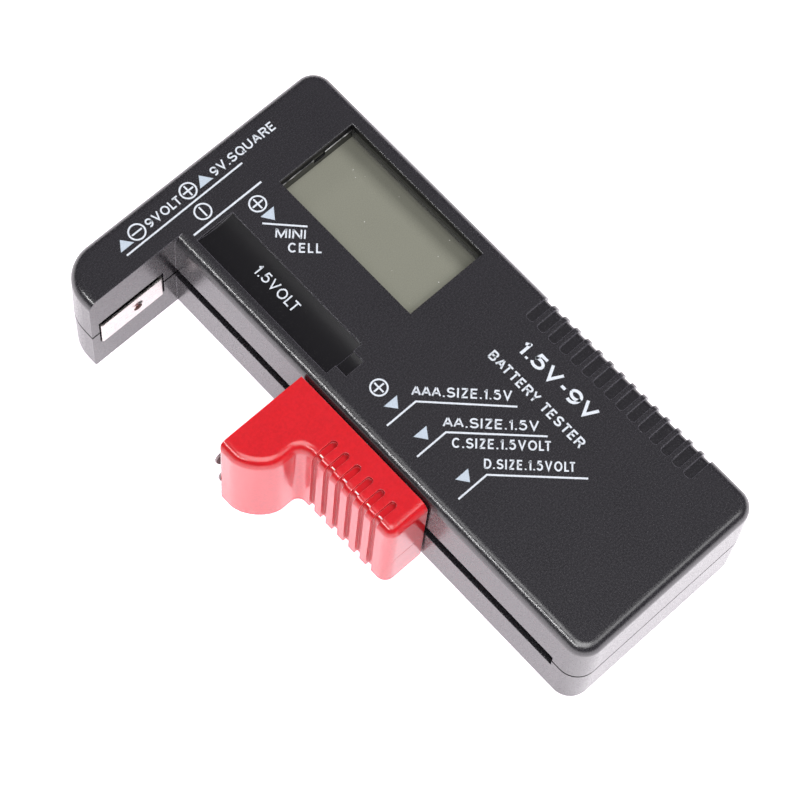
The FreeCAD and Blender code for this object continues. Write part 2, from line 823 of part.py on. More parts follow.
def rib_slots():
    """Cutters for the six finger grooves over the outer edge of the slider."""
    floor_z = grip_top - rib_depth
    inner_radius = grip_fillet - rib_depth
    bend_x = grip_side + rib_depth + inner_radius
    bend_z = floor_z - inner_radius
    diagonal = inner_radius * math.sqrt(0.5)
    outside = grip_side - 1.5
    above = grip_top + 1.0
    below = grip_bottom - 1.0
    edges = [
        Part.LineSegment(V(rib_end, 0, floor_z), V(bend_x, 0, floor_z)).toShape(),
        Part.Arc(
            V(bend_x, 0, floor_z),
            V(bend_x - diagonal, 0, bend_z + diagonal),
            V(bend_x - inner_radius, 0, bend_z),
        ).toShape(),
    ]
    corners = [
        V(bend_x - inner_radius, 0, bend_z),
        V(bend_x - inner_radius, 0, below),
        V(outside, 0, below),
        V(outside, 0, above),
        V(rib_end, 0, above),
        V(rib_end, 0, floor_z),
    ]
    for a, b in zip(corners, corners[1:]):
        edges.append(Part.LineSegment(a, b).toShape())
    profile = Part.Face(Part.Wire(edges))
    cutters = []
    for i in range(rib_count):
        centre = rib_first + i * rib_pitch
        low = centre - rib_slot / 2
        high = centre + rib_slot / 2
        band = profile.extrude(V(0, rib_slot, 0))
        band.translate(V(0, low, 0))
        round_end = rib_slot / 2 - 0.01
        plan = slab([
            (outside, low, 0),
            (rib_end, low, round_end),
            (rib_end, high, round_end),
            (outside, high, 0),
        ], (below, above))
        cutters.append(band.common(plan))
    return cutters


def slider_grip():
    """Red slider with its nose, finger grooves, hollow back and the stem that enters the slot."""
    grip = grip_block()
    main_x = (grip_side + grip_wall + rib_depth, grip_right + 1.0)
    main_y = (grip_low + grip_wall, grip_high - grip_wall)
    nose_room_x = (nose_left + nose_wall, grip_side + grip_wall + 1.0)
    nose_room_y = (nose_low + nose_wall, grip_high - grip_wall)
    stem_z = (split_z - stem_thickness / 2, split_z + stem_thickness / 2)
    cuts = []
    for z in ((grip_bottom + grip_wall, web_z[0]), (web_z[1], grip_top - grip_wall)):
        cuts.append(box(main_x, main_y, z))
        cuts.append(rounded_box(nose_room_x, nose_room_y, z, nose_room_corner))
    recess_z = (backing_z[0] - recess_room, contact_z[1] + recess_room)
    cuts.append(box((nose_left - 1, grip_right + 1), (grip_high - strip, grip_high + 1), recess_z))
    seam = box((grip_side, grip_right + 1), (grip_low - 1, grip_low + seam_size), (seam_z, seam_z + seam_size))
    cuts.append(seam)
    cuts += rib_slots()
    grip = only_solid(grip.cut(cuts))
    stem = box((grip_right - overlap, stem_end), stem_y, stem_z)
    grip = shape_sum([grip, stem])
    holes = []
    for y in slider_screw_y:
        start = V(slider_tip_x - screw_end_room, y, split_z)
        holes.append(Part.makeCylinder(slider_shank, stem_end + 1 - start.x, start, V(1, 0, 0)))
    return only_solid(grip.cut(holes))


def screw_hole_in_leaf(x, y):
    """Cutter for the hole of a slider screw through a leaf at x."""
    return Part.makeCylinder(slider_shank + fit_gap, 3.0, V(x - 1.5, y, split_z), V(1, 0, 0))


def leaf_trim(tip_x, z):
    """Bar along X with a half-round end, used to give a leaf its rounded tip."""
    y = (grip_high - 4, grip_high + 6)
    radius = (z[1] - z[0]) / 2 - 0.01
    centre = V(tip_x + radius, y[0], (z[0] + z[1]) / 2)
    tip = Part.makeCylinder(radius, y[1] - y[0], centre, V(0, 1, 0))
    return tip.fuse(box((tip_x + radius, grip_right), y, z))


def slider_contact():
    """Contact on the slider's upper end: a sprung leaf over a flat finger, and a tail through the slot."""
    half = strip / 2
    y_mid = grip_high - half
    leaf_end = grip_right - 0.6
    path = [(contact_tip_x, y_mid + contact_bow), (contact_bend_x, y_mid), (leaf_end, y_mid)]
    leaf = strip_along_y(path, half, contact_z).common(leaf_trim(contact_tip_x, contact_z))
    finger = box((backing_tip_x, leaf_end), (grip_high - strip, grip_high), backing_z)
    finger = finger.common(leaf_trim(backing_tip_x, backing_z))
    tail_z = (split_z - tail_width / 2, split_z + tail_width / 2)
    inner_x = carriage_x[1] - half
    tail = strip_along_y([(leaf_end - 0.6, y_mid), (inner_x, y_mid), (inner_x, tail_low)], half, tail_z)
    contact = shape_sum([leaf, finger, tail])
    return only_solid(contact.cut(screw_hole_in_leaf(inner_x, slider_screw_y[1])))


def slider_carriage():
    """Block inside the case that the slider is screwed to, with a seat for the tail of the contact."""
    block = box(carriage_x, carriage_y, carriage_z)
    seat_z = (split_z - tail_width / 2 - recess_room, split_z + tail_width / 2 + recess_room)
    seat_y = (tail_low - recess_room, carriage_y[1] + 1)
    cuts = [box((carriage_x[1] - strip, carriage_x[1] + 1), seat_y, seat_z)]
    through = carriage_x[1] - carriage_x[0] + 2
    for y in slider_screw_y:
        start = V(carriage_x[0] - 1, y, split_z)
        cuts.append(Part.makeCylinder(slider_shank + fit_gap, through, start, V(1, 0, 0)))
    return only_solid(block.cut(cuts))


def wiper_spring():
    """Arched leaf under the two slider screws that presses on the contact rail."""
    half = wiper / 2
    x = carriage_x[1] + half
    z = (split_z - wiper_width / 2, split_z + wiper_width / 2)
    low, high = slider_screw_y
    leaf = strip_along_y([
        (x, low - wiper_foot),
        (x, low + wiper_foot),
        (wiper_crest_x, wiper_crest_y[0]),
        (wiper_crest_x, wiper_crest_y[1]),
        (x, high - wiper_foot),
        (x, high + wiper_foot),
    ], half, z)
    return only_solid(leaf.cut([screw_hole_in_leaf(x, y) for y in slider_screw_y]))


def slider_screws():
    """Two screws from inside that join the carriage to the slider."""
    screws = []
    for y in slider_screw_y:
        tip = V(slider_tip_x, y, split_z)
        seat = V(carriage_x[1] + wiper, y, split_z)
        screws.append(screw(tip, seat, slider_shank, slider_head, slider_head_height))
    return Part.makeCompound(screws)


# ---- wires ----
def wire_arm_plate():
    """From the tab of the arm plate to the board."""
    y = arm_inner - plate_proud + plate_leg + wire_seat
    high, low = arm_wire_z
    x = plate_x[1] + arm_wire_step
    return hookup_wire([
        (plate_x[1], y, high), (x, y, high), (x, y, low), (solder_x, y, low), (solder_x, y, pcb_bottom),
    ])


def wire_nine_volt_neg():
    """From the minus pad to the board."""
    start_x = pad_centres()[0] + pad_width / 2
    start_y = y_high + pad_proud - pad_leg + wire_seat
    high, low = pad_wire_z
    x, y = start_x + neg_wire_step, neg_wire_y
    return hookup_wire([
        (start_x, start_y, high), (x, start_y, high), (x, y, high), (x, y, low),
        (solder_x, y, low), (solder_x, y, pcb_bottom),
    ])


def wire_nine_volt_pos():
    """From the plus pad to the board."""
    start_x = pad_centres()[1] + pad_width / 2
    start_y = y_high + pad_proud - pad_leg + wire_seat
    high = pad_wire_z[0]
    x, y = pos_wire_xy
    return hookup_wire([
        (start_x, start_y, high), (x, start_y, high), (x, y, high), (solder_x, y, high),
        (solder_x, y, pcb_bottom),
    ])


def wire_rail():
    """From the back of the contact rail to the board."""
    x, y = rail_wire_x, rail_wire_y
    high, low = rail_wire_z
    return hookup_wire([
        (rail_x + strip, y, high), (x, y, high), (x, y, low), (solder_x, y, low), (solder_x, y, pcb_bottom),
    ])


PARTS = [
    front_shell, rear_shell, lcd_frame, lcd_front_polarizer, lcd_front_glass, lcd_rear_glass,
    lcd_reflector, zebra_strip, main_pcb, pcb_screws, case_screws, ic_blob, smd_resistors,
    smd_capacitors, boost_inductor, arm_contact_plate, nine_volt_contact_neg, nine_volt_contact_pos,
    contact_rail, slider_grip, slider_contact, slider_carriage, wiper_spring, slider_screws,
    wire_arm_plate, wire_nine_volt_neg, wire_nine_volt_pos, wire_rail,
]

to_middle = V(0, -(y_low + y_high) / 2, 0)
os.makedirs("parts", exist_ok=True)
for make in PARTS:
    shape = make()
    shape.translate(to_middle)
    shape.exportStep("parts/" + make.__name__ + ".step")
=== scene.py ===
"""Looks of the handheld battery tester: materials, printed marks, light and camera around the CAD frame."""
import bmesh
import bpy
import math
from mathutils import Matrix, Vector


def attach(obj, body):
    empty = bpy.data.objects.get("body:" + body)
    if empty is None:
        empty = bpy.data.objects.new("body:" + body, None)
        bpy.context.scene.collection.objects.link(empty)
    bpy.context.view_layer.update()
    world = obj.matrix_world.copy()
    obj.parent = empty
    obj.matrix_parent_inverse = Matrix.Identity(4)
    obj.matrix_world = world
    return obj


MM = 0.001

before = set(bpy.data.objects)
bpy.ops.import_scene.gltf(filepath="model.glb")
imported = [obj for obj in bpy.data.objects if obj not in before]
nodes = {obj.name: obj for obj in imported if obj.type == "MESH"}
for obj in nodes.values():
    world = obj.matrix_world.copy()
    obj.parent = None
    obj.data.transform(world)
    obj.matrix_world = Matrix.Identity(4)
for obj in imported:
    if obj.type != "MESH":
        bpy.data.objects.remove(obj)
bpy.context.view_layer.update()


# ---------------------------------------------------------------- camera

CAMERA_AT_MM = (-141.47, -118.91, 474.54)
CAMERA_TURN_DEG = (21.886, -2.8695, -42.775)
CAMERA_LENS_MM = 131.1
CAMERA_SENSOR_MM = 36.0
CAMERA_CLIP_M = (0.01, 20.0)


def add_camera():
    data = bpy.data.cameras.new("camera")
    data.lens = CAMERA_LENS_MM
    data.sensor_width = CAMERA_SENSOR_MM
    data.clip_start, data.clip_end = CAMERA_CLIP_M
    camera = bpy.data.objects.new("camera", data)
    camera.location = [v * MM for v in CAMERA_AT_MM]
    camera.rotation_euler = [math.radians(a) for a in CAMERA_TURN_DEG]
    bpy.context.scene.collection.objects.link(camera)
    bpy.context.scene.camera = camera


# ---------------------------------------------------------------- material helpers

BEVEL_SAMPLES = 6
EDGE_COSINES = (0.80, 0.985)        # between the rounded and the flat normal: full edge colour, none
TONE_LEVELS = (0.3, 0.7)            # noise levels of the darkest and lightest, or smoothest and roughest
GRAIN_LEVELS = (0.35, 0.65)
MOTTLING_PER_MM = 0.12
SPECKS_PER_MM = 2.2
SPECK_LEVELS = (0.86, 0.88)         # noise levels where a speck starts and where it is full
SPECK_COLOUR = (0.8, 0.8, 0.78)
MARK_ROUGH = 0.6


def new_material(name):
    material = bpy.data.materials.new(name)
    material.use_nodes = True
    tree = material.node_tree
    shader = tree.nodes["Principled BSDF"]
    return material, tree, shader


def add_node(tree, kind, **settings):
    node = tree.nodes.new(kind)
    for key, value in settings.items():
        if key in node.inputs:
            node.inputs[key].default_value = value
        else:
            setattr(node, key, value)
    return node


def object_noise(tree, per_mm, detail=4.0, roughness=0.55, stretch=(1, 1, 1)):
    """Noise in the object's own space, with `per_mm` features to a millimetre."""
    coords = add_node(tree, "ShaderNodeTexCoord")
    mapping = add_node(tree, "ShaderNodeMapping")
    mapping.inputs["Scale"].default_value = [per_mm / MM * s for s in stretch]
    noise = add_node(tree, "ShaderNodeTexNoise", Scale=1.0, Detail=detail, Roughness=roughness)
    tree.links.new(coords.outputs["Object"], mapping.inputs["Vector"])
    tree.links.new(mapping.outputs["Vector"], noise.inputs["Vector"])
    return noise.outputs["Fac"]


def ramp(tree, factor, stops):
    """A colour ramp over `factor`; `stops` are (position, value or colour)."""
    node = add_node(tree, "ShaderNodeValToRGB")
    elements = node.color_ramp.elements
    while len(elements) < len(stops):
        elements.new(0.5)
    for element, (position, value) in zip(elements, stops):
        element.position = position
        element.color = (value, value, value, 1) if isinstance(value, float) else (*value, 1)
    tree.links.new(factor, node.inputs["Fac"])
    return node.outputs["Color"]


def scaled(colour, k):
    return tuple(min(1.0, c * k) for c in colour)


def mixed(tree, factor, a, b):
    """Mix of two colours or colour sockets."""
    node = add_node(tree, "ShaderNodeMix", data_type="RGBA")
    tree.links.new(factor, node.inputs["Factor"])
    for socket, value in ((node.inputs[6], a), (node.inputs[7], b)):
        if isinstance(value, tuple):
            socket.default_value = (*value, 1)
        else:
            tree.links.new(value, socket)
    return node.outputs[2]


def maths(tree, operation, *values):
    """Math node over numbers and sockets."""
    node = add_node(tree, "ShaderNodeMath", operation=operation)
    for socket, value in zip(node.inputs, values):
        if isinstance(value, (int, float)):
            socket.default_value = value
        else:
            tree.links.new(value, socket)
    return node.outputs[0]


def place_mm(tree):
    """X, Y and Z of the shaded point in mm, in the object's own space."""
    coords = add_node(tree, "ShaderNodeTexCoord")
    split = add_node(tree, "ShaderNodeSeparateXYZ")
    tree.links.new(coords.outputs["Object"], split.inputs[0])
    return [maths(tree, "MULTIPLY", axis, 1 / MM) for axis in split.outputs]


def between(tree, value, limits):
    """1 where a value lies between two limits."""
    middle, half = sum(limits) / 2, (limits[1] - limits[0]) / 2
    return maths(tree, "COMPARE", value, middle, half)


def box_mask(tree, *limits):
    """1 inside a box of (x, y, z) limits in mm."""
    inside = [between(tree, axis, pair) for axis, pair in zip(place_mm(tree), limits)]
    return maths(tree, "MULTIPLY", maths(tree, "MULTIPLY", inside[0], inside[1]), inside[2])


def rounded_normal(tree, radius_mm):
    """Normal that runs smoothly around the corners of the shape."""
    bevel = add_node(tree, "ShaderNodeBevel", samples=BEVEL_SAMPLES)
    bevel.inputs["Radius"].default_value = radius_mm * MM
    return bevel.outputs["Normal"]


def edge_mask(tree, radius_mm):
    """White on the corners of the shape, black on its faces."""
    geometry = add_node(tree, "ShaderNodeNewGeometry")
    dot = add_node(tree, "ShaderNodeVectorMath", operation="DOT_PRODUCT")
    tree.links.new(rounded_normal(tree, radius_mm), dot.inputs[0])
    tree.links.new(geometry.outputs["Normal"], dot.inputs[1])
    return ramp(tree, dot.outputs["Value"], list(zip(EDGE_COSINES, (1.0, 0.0))))


def surface(name, colour, rough, metallic=0.0, grain_per_mm=3.0, grain_mm=0.004, mottling=0.12,
            edge_mm=0.12, edge_gain=1.6, stretch=(1, 1, 1), rough_spread=0.08, specular=0.5,
            edge_colour=None, smooth=None, smooth_shade=0.45, smooth_rough=0.24, smooth_shine=0.6,
            specks=0.0, mark=None, mark_colour=(0.0, 0.0, 0.0)):
    """Moulded or stamped surface: mottled colour, uneven roughness, fine grain and rounded edges, lightened
    as wear and, where the edge gain is strong or an edge colour is given, as a painted highlight.

    `smooth` builds a mask of places without grain that differ in shine and are darkened as painted shade,
    `specks` lightens rare dots, and `mark` builds a mask of places with a rough colour of their own: painted
    shade, painted highlights, painted reflections and a dark spot.
    """
    material, tree, shader = new_material(name)
    coarse = object_noise(tree, MOTTLING_PER_MM, detail=5.0)
    fine = object_noise(tree, grain_per_mm, detail=2.0, stretch=stretch)
    tones = (scaled(colour, 1 - mottling), scaled(colour, 1 + mottling))
    body = ramp(tree, coarse, list(zip(TONE_LEVELS, tones)))
    grain = ramp(tree, fine, list(zip(GRAIN_LEVELS, (0.0, 1.0))))
    body = mixed(tree, grain, body, scaled(colour, 1 + 4 * mottling))
    if specks:
        level = object_noise(tree, SPECKS_PER_MM, detail=0.0)
        dots = ramp(tree, level, list(zip(SPECK_LEVELS, (0.0, specks))))
        body = mixed(tree, dots, body, SPECK_COLOUR)
    spread = (max(0.02, rough - rough_spread), min(1.0, rough + rough_spread))
    rough_out = ramp(tree, fine, list(zip(TONE_LEVELS, spread)))
    bump = add_node(tree, "ShaderNodeBump")
    bump.inputs["Strength"].default_value = 1.0
    bump.inputs["Distance"].default_value = grain_mm * MM
    height = fine
    if smooth:
        mask = smooth(tree)
        # Painted shade: the smooth places are darkened.
        body = mixed(tree, mask, body, scaled(colour, smooth_shade))
        rough_out = mixed(tree, mask, rough_out, (smooth_rough,) * 3)
        height = maths(tree, "MULTIPLY", fine, maths(tree, "SUBTRACT", 1.0, mask))
        shine = maths(tree, "MULTIPLY_ADD", mask, (smooth_shine - 1) * specular, specular)
        if mark:
            shine = maths(tree, "MULTIPLY", shine, maths(tree, "SUBTRACT", 1.0, mark(tree)))
        tree.links.new(shine, shader.inputs["Specular IOR Level"])
    # Edges lightened as wear; a strong gain or a pale edge colour makes this a painted highlight along the
    # edges.
    colour_out = mixed(tree, edge_mask(tree, edge_mm), body, edge_colour or scaled(colour, edge_gain))
    # Painted shade, painted highlights, painted reflections and a dark spot, each with a rough colour of its
    # own.
    if mark:
        spot = mark(tree)
        colour_out = mixed(tree, spot, colour_out, mark_colour)
        rough_out = mixed(tree, spot, rough_out, (MARK_ROUGH,) * 3)
    tree.links.new(colour_out, shader.inputs["Base Color"])
    tree.links.new(rough_out, shader.inputs["Roughness"])
    shader.inputs["Metallic"].default_value = metallic
    shader.inputs["Specular IOR Level"].default_value = specular
    tree.links.new(height, bump.inputs["Height"])
    tree.links.new(rounded_normal(tree, edge_mm), bump.inputs["Normal"])
    tree.links.new(bump.outputs["Normal"], shader.inputs["Normal"])
    return material


def add_coat(material, weight, rough):
    """Clear gloss over a plastic."""
    shader = material.node_tree.nodes["Principled BSDF"]
    shader.inputs["Coat Weight"].default_value = weight
    shader.inputs["Coat Roughness"].default_value = rough


def let_light_in(material, weight, radius, scale_mm):
    """Light that scatters under the surface of a plastic."""
    shader = material.node_tree.nodes["Principled BSDF"]
    shader.inputs["Subsurface Weight"].default_value = weight
    shader.inputs["Subsurface Radius"].default_value = radius
    shader.inputs["Subsurface Scale"].default_value = scale_mm * MM


# ---------------------------------------------------------------- places with a look of their own, and painted shade and highlights

# Boxes are (x, y, z) limits in mm.
TROUGH = ((-8.15, -0.05), (7.5, 42.9), (23.8, 24.95))
GROOVES = ((24.05, 31.0), (-44.5, -4.0), (-1.0, 24.85))
GROOVE_FIRST_Y = -5.12
GROOVE_PITCH = 2.707
GROOVE_SHARE = 0.32        # half a groove's width, in pitches
GROOVE_POLISH_AND_SHADE = 0.4          # how much of the trough's smoothness and painted shade the grip grooves take


def bands(tree, first_y, pitch, share):
    """1 in bands across Y that repeat at a pitch in mm; `share` is half a band's width in pitches."""
    turns = maths(tree, "DIVIDE", maths(tree, "SUBTRACT", place_mm(tree)[1], first_y), pitch)
    phase = maths(tree, "FRACT", maths(tree, "ADD", turns, 0.5))
    return maths(tree, "COMPARE", phase, 0.5, share)


def recesses(tree):
    """1 in the trough of the case, and a set share of it in its grip grooves: places without grain that are
    darkened as painted shade.
    """
    in_groove = bands(tree, GROOVE_FIRST_Y, GROOVE_PITCH, GROOVE_SHARE)
    grooves = maths(tree, "MULTIPLY", in_groove, box_mask(tree, *GROOVES))
    grooves = maths(tree, "MULTIPLY", grooves, GROOVE_POLISH_AND_SHADE)
    return maths(tree, "MAXIMUM", grooves, box_mask(tree, *TROUGH))


FINGER_GROOVES = ((-21.0, -14.7), (-15.6, 1.0), (0.5, 24.1))
FINGER_FIRST_Y = -14.15
FINGER_PITCH = 2.88
FINGER_SHARE = 0.232
# Painted highlight: a pale dash where the floor of each groove of the slider bends down.
GLINT_DASHES = ((-18.25, -18.04), (-15.6, 1.0), (22.5, 24.1))
GLINT_DASHES_FIRST_Y = -14.25
GLINT_DASHES_SHARE = 0.15


def finger_grooves(tree):
    """1 in the grooves of the slider."""
    in_groove = bands(tree, FINGER_FIRST_Y, FINGER_PITCH, FINGER_SHARE)
    return maths(tree, "MULTIPLY", in_groove, box_mask(tree, *FINGER_GROOVES))


def painted_groove_glints(tree):
    """1 on the painted highlight, a pale dash where the floor of each groove of the slider bends down."""
    in_dash = bands(tree, GLINT_DASHES_FIRST_Y, FINGER_PITCH, GLINT_DASHES_SHARE)
    return maths(tree, "MULTIPLY", in_dash, box_mask(tree, *GLINT_DASHES))


# Painted shade in the gap between the shells and on the walls of the display window.
SEAM_Z = (11.88, 12.40)
WINDOW_WALLS = ((9.75, 26.7), (8.8, 41.8), (23.3, 24.7))
WALL_SHADE = 0.75
# Painted shadow on the display near the right wall of its window.
WINDOW_RIGHT = 26.6
SHADE_REACH = 4.0          # mm
SHADE_STOPS = [(0.0, 0.45), (0.06, 0.28), (0.22, 0.0)]
# Painted reflection on the right wall of the display window, stronger towards its foot.
WALL_FOOT_Z = 21.0
WALL_TOP_Z = 23.4
WALL_SHEEN = [(0.0, 0.02), (0.9, 0.34)]
WALL_SKIN = 0.06           # mm, how far from the wall its painted reflection starts
PIP_AT = (-20.1, 11.8)
PIP_SPOT = 1.3             # mm, reach of the dull middle of the pip with its ragged edge
PIP_RAGGED = (1.2, 0.9)    # noise to a mm, and how far it moves the edge
# Painted highlight: an uneven glint line along the corner of the display frame's ledge.
LEDGE = ((9.9, 26.4), (41.38, 41.58), (23.22, 23.5))
LEDGE_GLINT_PER_MM = 0.45
LEDGE_GLINT = [(0.42, 0.12), (0.60, 1.0)]


def unlit(tree):
    """Painted shade: 1 in the gap between the two shells, and the wall share on the walls of the display
    window.
    """
    walls = maths(tree, "MULTIPLY", box_mask(tree, *WINDOW_WALLS), WALL_SHADE)
    return maths(tree, "MAXIMUM", between(tree, place_mm(tree)[2], SEAM_Z), walls)


def window_shade(tree):
    """Painted shadow that fades out from the right wall of the display window into the display."""
    x = place_mm(tree)[0]
    away = maths(tree, "DIVIDE", maths(tree, "SUBTRACT", WINDOW_RIGHT, x), SHADE_REACH)
    return ramp(tree, away, SHADE_STOPS)


def pip_spot(tree):
    """1 on the dark brown middle of the pip of the arm's plate."""
    x, _, z = place_mm(tree)
    steps = [maths(tree, "SUBTRACT", axis, middle) for axis, middle in zip((x, z), PIP_AT)]
    squares = [maths(tree, "MULTIPLY", step, step) for step in steps]
    reach = maths(tree, "SQRT", maths(tree, "ADD", *squares))
    per_mm, ragged_by = PIP_RAGGED
    ragged = maths(tree, "MULTIPLY_ADD", object_noise(tree, per_mm), ragged_by, reach)
    return maths(tree, "LESS_THAN", ragged, PIP_SPOT)


def frame_glints(tree):
    """Painted highlight: an uneven glint line on the corner of the display frame's ledge; and a painted
    reflection on its right wall, stronger towards its foot.
    """
    x, _, z = place_mm(tree)
    ledge_glint = ramp(tree, object_noise(tree, LEDGE_GLINT_PER_MM, detail=2.0), LEDGE_GLINT)
    line = maths(tree, "MULTIPLY", box_mask(tree, *LEDGE), ledge_glint)
    depth = maths(tree, "DIVIDE", maths(tree, "SUBTRACT", WALL_TOP_Z, z), WALL_TOP_Z - WALL_FOOT_Z)
    sheen = ramp(tree, depth, WALL_SHEEN)
    right_wall = maths(tree, "GREATER_THAN", x, WINDOW_RIGHT - WALL_SKIN)
    return maths(tree, "MAXIMUM", line, maths(tree, "MULTIPLY", sheen, right_wall))


# ---------------------------------------------------------------- finishes

def paint(node_name, material):
    for slot in nodes[node_name].material_slots:
        slot.material = material


def paint_all():
    # The case: near-black painted shade in the gap between the shells and on the window walls, painted shade
    # in its trough and grip grooves, painted highlights along its edges.
    case = surface("case_black_abs", (0.0175, 0.0162, 0.0200), 0.25, grain_per_mm=3.4, grain_mm=0.007,
                   specular=1.0, rough_spread=0.07, smooth=recesses, edge_mm=0.15, edge_gain=9.0,
                   mark=unlit, mark_colour=(0.0004, 0.0004, 0.0004))
    # The strong edge gain paints highlights along the edges.
    inner = surface("inner_black_abs", (0.005, 0.005, 0.0055), 0.28, grain_per_mm=3.0, grain_mm=0.003,
                    specular=0.2, edge_mm=0.1, edge_gain=30.0)
    # Glossy frame: painted highlights along its edges and ledge, and a painted reflection on its right wall.
    gloss = surface("frame_gloss_black", (0.004, 0.004, 0.0042), 0.12, grain_per_mm=3.0, grain_mm=0.0008,
                    specular=0.4, edge_mm=0.1, edge_gain=12.0, rough_spread=0.04,
                    mark=frame_glints, mark_colour=(0.42, 0.42, 0.42))
    # The red slider: a pale edge colour paints highlights along its edges, its groove floors are slightly
    # darkened as painted shade, and pale dashes in the grooves are painted highlights.
    red = surface("slider_red_abs", (0.60, 0.014, 0.022), 0.20, grain_per_mm=2.0, grain_mm=0.0015,
                  mottling=0.03, edge_colour=(0.80, 0.13, 0.14), rough_spread=0.03, specular=0.6,
                  smooth=finger_grooves, smooth_shade=0.95, smooth_rough=0.16, smooth_shine=0.5,
                  mark=painted_groove_glints, mark_colour=(0.95, 0.84, 0.86))
    let_light_in(red, 0.5, (1.0, 0.16, 0.12), 1.2)
    add_coat(red, 0.22, 0.15)
    pad = surface("pad_nickel", (0.36, 0.345, 0.335), 0.3, metallic=1.0, grain_per_mm=4.0,
                  grain_mm=0.003, stretch=(1, 1, 0.2), mottling=0.14, edge_gain=1.1)
    plate = surface("arm_plate_nickel", (0.56, 0.525, 0.51), 0.28, metallic=1.0, grain_per_mm=6.0,
                    grain_mm=0.002, stretch=(0.15, 1, 1), mottling=0.10, edge_gain=1.05,
                    mark=pip_spot, mark_colour=(0.10, 0.045, 0.035))
    dull_nickel = surface("nickel_leaf", (0.20, 0.16, 0.16), 0.38, metallic=1.0, grain_per_mm=6.0,
                          grain_mm=0.002, stretch=(1, 0.15, 1), mottling=0.1, edge_gain=1.1)
    rail = surface("rail_oxidised", (0.03, 0.03, 0.03), 0.5, metallic=1.0, grain_per_mm=6.0,
                   grain_mm=0.003, stretch=(1, 0.15, 1), mottling=0.1)
    bronze = surface("spring_bronze", (0.60, 0.36, 0.16), 0.3, metallic=1.0, grain_per_mm=5.0)
    steel = surface("screw_steel", (0.42, 0.42, 0.43), 0.32, metallic=1.0, grain_per_mm=5.0, grain_mm=0.003)
    board = surface("board_green", (0.02, 0.13, 0.05), 0.35, grain_per_mm=1.5, grain_mm=0.003)
    resin = surface("resin_blob", (0.008, 0.008, 0.009), 0.22, grain_per_mm=0.8, grain_mm=0.01)
    resistor = surface("resistor_ceramic", (0.02, 0.02, 0.022), 0.35)
    capacitor = surface("capacitor_ceramic", (0.36, 0.23, 0.13), 0.45)
    ferrite = surface("ferrite_core", (0.03, 0.03, 0.032), 0.6)
    rubber = surface("zebra_rubber", (0.25, 0.2, 0.2), 0.6)
    wire_black = surface("wire_black_pvc", (0.015, 0.015, 0.016), 0.4)
    wire_red = surface("wire_red_pvc", (0.55, 0.012, 0.012), 0.4)
    # The display: darkened near the window's right wall as a painted shadow.
    display = surface("display_polarizer", (0.21, 0.21, 0.172), 0.2, grain_per_mm=5.0, grain_mm=0.0004,
                      mottling=0.03, edge_mm=0.05, edge_gain=1.0, rough_spread=0.03, specks=0.8,
                      mark=window_shade, mark_colour=(0.02, 0.02, 0.02))
    glass = surface("display_glass", (0.30, 0.33, 0.30), 0.1, mottling=0.03, grain_mm=0.0004)
    reflector = surface("display_reflector", (0.45, 0.45, 0.42), 0.5, mottling=0.05)
    finishes = {
        "front_shell": case, "rear_shell": case, "lcd_frame": gloss, "slider_carriage": inner,
        "lcd_front_polarizer": display, "lcd_front_glass": glass, "lcd_rear_glass": glass,
        "lcd_reflector": reflector, "zebra_strip": rubber, "main_pcb": board, "pcb_screws": steel,
        "case_screws": steel, "slider_screws": steel, "ic_blob": resin, "smd_resistors": resistor,
        "smd_capacitors": capacitor, "boost_inductor": ferrite, "arm_contact_plate": plate,
        "nine_volt_contact_neg": pad, "nine_volt_contact_pos": pad, "contact_rail": rail,
        "slider_grip": red, "slider_contact": dull_nickel, "wiper_spring": bronze,
        "wire_arm_plate": wire_black, "wire_nine_volt_neg": wire_black,
        "wire_nine_volt_pos": wire_red, "wire_rail": wire_red,
    }
    for node_name, finish in finishes.items():
        paint(node_name, finish)


# ---------------------------------------------------------------- printed marks

INK_ABOVE = 0.02           # mm, how far the ink stands off the plastic
INK_BELOW = 0.03
LINE = 0.35                # mm, width of a printed line
RING = 1.64                # mm, outer radius of a polarity symbol
RING_LINE = 0.33
RING_STEPS = 40
MINUS_INSET = 0.55         # mm, from the ring's outside to the end of the bar
PLUS_INSET = 0.5
MITRE_LIMIT = 0.4
ARC_STEP_DEG = 15
FRONT_Z = 25.0
RAY_FROM_Z = 30.0
WEIGHT = 0.175             # stroke width as a share of the letter height
THIN_WEIGHT = 0.145
NAME_WEIGHT = 0.19
BOLD_WEIGHT = 0.2
BEND_STEP = 0.25           # mm between the cuts of print that crosses the trough's curve


def direction(angle_deg):
    a = math.radians(angle_deg)
    return Vector((math.cos(a), math.sin(a)))


def surface_height(x, y):
    """Height in mm of the front shell under (x, y) in mm."""
    start = Vector((x * MM, y * MM, RAY_FROM_Z * MM))
    hit, place, _, _ = nodes["front_shell"].ray_cast(start, Vector((0, 0, -1)))
    return place.z / MM if hit else FRONT_Z


def lay_on_shell(shape):
    """Moves the vertices of a flat prism (z -1 below, +1 above) onto the shell, as a film of ink."""
    for vert in shape.verts:
        above = vert.co.z > 0
        top = surface_height(vert.co.x, vert.co.y)
        vert.co.z = top + (INK_ABOVE if above else -INK_BELOW)


def prism(shape, outline):
    """Adds a closed flat prism over a simple outline of (x, y) points, anticlockwise."""
    low = [shape.verts.new((x, y, -1)) for x, y in outline]
    high = [shape.verts.new((x, y, 1)) for x, y in outline]
    shape.faces.new(high)
    shape.faces.new(low[::-1])
    for i in range(len(outline)):
        j = (i + 1) % len(outline)
        shape.faces.new((low[i], low[j], high[j], high[i]))


def triangle(shape, left, right, base_y, apex):
    """Adds an arrow with a level base."""
    points = [(left, base_y), (right, base_y), apex]
    if apex[1] < base_y:
        points.reverse()
    prism(shape, points)


